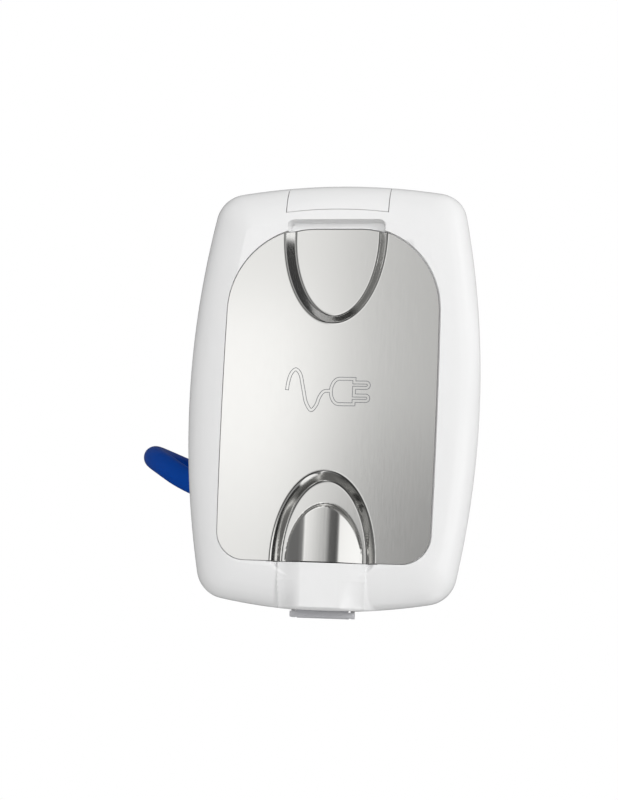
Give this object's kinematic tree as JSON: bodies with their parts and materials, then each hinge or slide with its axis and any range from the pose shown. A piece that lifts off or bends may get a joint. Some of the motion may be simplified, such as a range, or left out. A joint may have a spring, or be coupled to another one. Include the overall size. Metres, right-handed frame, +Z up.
{
  "type": "recessed power inlet",
  "caption": "Flush wall inlet for a caravan's mains hook-up: a box with a tilted pin inlet behind a hinged, sprung lid with a steel plate and a cable outlet.",
  "frame": {"origin": "rear face of the wall flange, on the centre line, 80 mm below the middle of the lid", "axes": "+Z up, -Y out of the wall towards the user, +X to the right seen from the front"},
  "size_m": [0.1868, 0.1945, 0.1973],
  "materials": {
    "white_plastic": "gloss",
    "stainless_steel": "fine brushed, near mirror",
    "zinc_steel": "satin",
    "nickel_brass": "bright",
    "black_rubber": "matt",
    "grey_plastic": "matt",
    "silver_plastic": "satin",
    "blue_plastic": "satin",
    "blue_rubber": "satin",
    "orange_plastic": "satin",
    "brown_core": "satin",
    "blue_core": "satin",
    "green_core": "satin"
  },
  "bodies": {
    "base": {"base_frame": "white_plastic", "cable": "blue_rubber", "cable_coil": "blue_rubber", "cable_gland": "grey_plastic", "cable_tail": "blue_rubber", "cable_tie": "grey_plastic", "cover_screw_1": "zinc_steel", "cover_screw_2": "zinc_steel", "cover_screw_3": "zinc_steel", "cover_screw_4": "zinc_steel", "earth_core": "green_core", "earth_pin": "nickel_brass", "flange_screw_1": "zinc_steel", "flange_screw_2": "zinc_steel", "flange_screw_3": "zinc_steel", "flange_screw_4": "zinc_steel", "gland_lock_nut": "grey_plastic", "gland_nut": "grey_plastic", "hinge_pin": "zinc_steel", "inlet_body": "blue_plastic", "inlet_gasket": "black_rubber", "inlet_screw_1": "zinc_steel", "inlet_screw_2": "zinc_steel", "inlet_screw_3": "zinc_steel", "inlet_screw_4": "zinc_steel", "latch_pin": "zinc_steel", "lid_gasket": "black_rubber", "lid_spring": "zinc_steel", "live_core": "brown_core", "live_pin": "nickel_brass", "neutral_core": "blue_core", "neutral_pin": "nickel_brass", "rear_cover": "grey_plastic", "wall_gasket": "black_rubber"},
    "lid": {"lid_shell": "white_plastic", "cover_plate": "stainless_steel", "flap_pin": "zinc_steel"},
    "flap": {"cable_flap": "silver_plastic"},
    "latch": {"latch_lever": "orange_plastic"}
  },
  "joints": [
    {"name": "lid_hinge", "type": "hinge", "parent": "base", "child": "lid", "pos_m": [0, -0.007, 0.171], "axis": [-1, 0, 0], "range_deg": [0, 105], "stiffness_Nm_per_rad": 0.05, "springref_deg": -17.19},
    {"name": "flap_hinge", "type": "hinge", "parent": "lid", "child": "flap", "pos_m": [0, -0.0048, -0.0188], "axis": [1, 0, 0], "range_deg": [0, 80], "stiffness_Nm_per_rad": 0.002, "springref_deg": -17.19},
    {"name": "latch_hinge", "type": "hinge", "parent": "base", "child": "latch", "pos_m": [0.028, 0.0273, 0.10098], "axis": [0, -0.6485, 0.7612], "range_deg": [0, 10], "stiffness_Nm_per_rad": 0.02, "springref_deg": -11.46}
  ]
}
